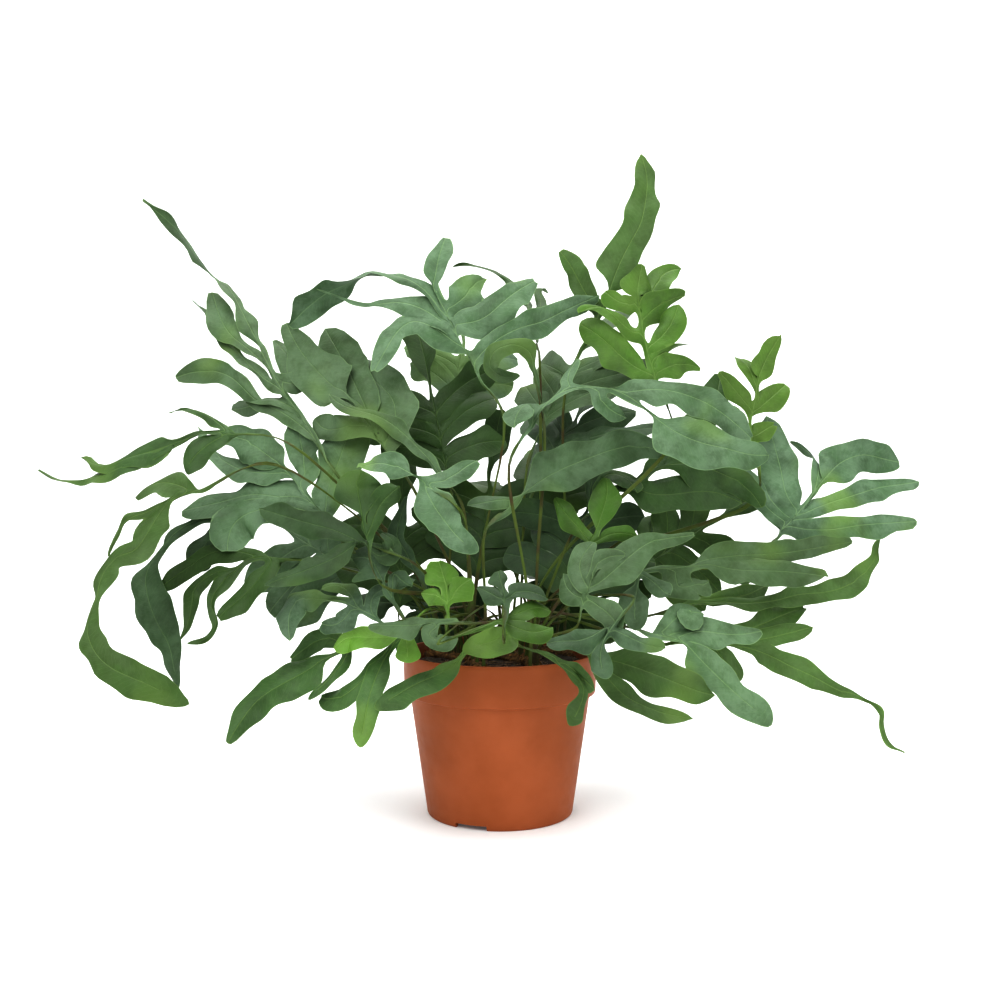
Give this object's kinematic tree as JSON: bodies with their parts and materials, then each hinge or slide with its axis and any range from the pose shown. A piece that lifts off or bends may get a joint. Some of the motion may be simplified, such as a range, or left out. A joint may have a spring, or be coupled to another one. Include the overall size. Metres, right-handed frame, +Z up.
{
  "type": "potted blue star fern",
  "caption": "Blue star fern with arching, lobed blue-green fronds on a creeping rhizome, growing in soil in a round tapered plastic nursery pot.",
  "frame": {"origin": "middle of the pot's foot, on the floor under it", "axes": "+Z up, -Y towards the viewer of the picture, +X to the viewer's right, along the plant's widest spread"},
  "size_m": [0.8872, 0.4051, 0.663],
  "materials": {
    "pot": "satin",
    "soil": "matte",
    "rhizome": "scaly",
    "leaf_blue": "waxy bloom",
    "leaf_green": "satin",
    "leaf_lime": "satin"
  },
  "bodies": {
    "root": {"pot": "pot", "soil": "soil", "rhizome": "rhizome", "frond_arching_light": "leaf_blue", "frond_far_upper_left": "leaf_blue", "frond_left_shoulder": "leaf_blue", "frond_narrow_folded": "leaf_blue", "frond_left_palmate": "leaf_blue", "frond_top_centre": "leaf_blue", "frond_thin_behind_top": "leaf_green", "frond_tall": "leaf_green", "frond_lime_upper_right": "leaf_lime", "frond_curled_cup": "leaf_blue", "frond_right_broad": "leaf_blue", "frond_right_under_broad": "leaf_green", "frond_long_centre": "leaf_blue", "frond_lime_three_lobed": "leaf_lime", "frond_centre_twisted": "leaf_blue", "frond_right_rounded": "leaf_blue", "frond_right_long": "leaf_blue", "frond_right_palmate": "leaf_blue", "frond_right_wavy_narrow": "leaf_green", "frond_lower_right_olive": "leaf_green", "frond_lower_right_pointed": "leaf_blue", "frond_rim_right_pair": "leaf_green", "frond_rim_right_blue": "leaf_blue", "frond_rim_small_right": "leaf_green", "frond_rim_left": "leaf_green", "frond_hanging_left_cross": "leaf_green", "frond_lime_left": "leaf_lime", "frond_left_blue_pointed": "leaf_blue", "frond_left_blue_square": "leaf_blue", "frond_left_strap": "leaf_blue", "frond_left_dark_centre": "leaf_green", "frond_curly_young": "leaf_blue", "frond_light_maple": "leaf_lime", "frond_young_front_left": "leaf_lime", "frond_young_front_middle": "leaf_blue", "frond_young_front_right": "leaf_lime", "frond_dark_blue_rim_left": "leaf_blue", "frond_upper_right_young": "leaf_lime", "frond_hanging_far_left": "leaf_green", "frond_hanging_left_long": "leaf_green", "frond_hanging_left_blue": "leaf_blue", "frond_left_dark_pair": "leaf_green", "frond_lower_left_olive": "leaf_green", "frond_inner_1": "leaf_green", "frond_inner_2": "leaf_blue", "frond_inner_3": "leaf_green", "frond_inner_4": "leaf_green", "frond_inner_5": "leaf_green", "frond_inner_6": "leaf_blue", "frond_low_left": "leaf_blue", "frond_high_back": "leaf_blue", "frond_low_right": "leaf_green", "frond_back_1": "leaf_blue", "frond_back_2": "leaf_blue", "frond_back_4": "leaf_green", "frond_back_6": "leaf_green"}
  },
  "joints": []
}
